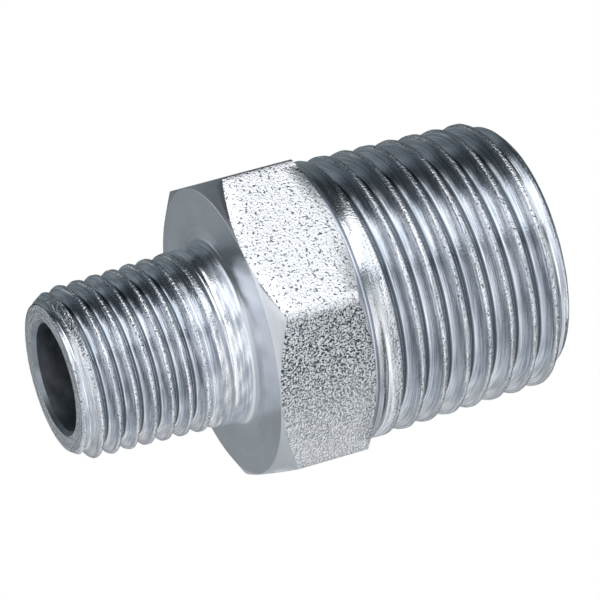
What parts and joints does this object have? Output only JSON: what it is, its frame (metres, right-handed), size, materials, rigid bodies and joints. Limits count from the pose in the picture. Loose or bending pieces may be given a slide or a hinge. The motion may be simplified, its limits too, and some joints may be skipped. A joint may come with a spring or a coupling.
{
  "type": "reducing hex nipple",
  "caption": "Short metal pipe nipple with a hexagon collar between a narrow and a wide external taper thread, and a stepped bore right through.",
  "frame": {"origin": "on the bore axis, at the middle of the hexagon's width", "axes": "+X along the bore from the narrow thread to the wide thread, +Z square to one flat of the hexagon"},
  "size_m": [0.0366, 0.0248, 0.0214],
  "materials": {
    "zinc_plated_steel": "bright zinc plate over machined steel"
  },
  "bodies": {
    "root": {"nipple_body": "zinc_plated_steel"}
  },
  "joints": []
}
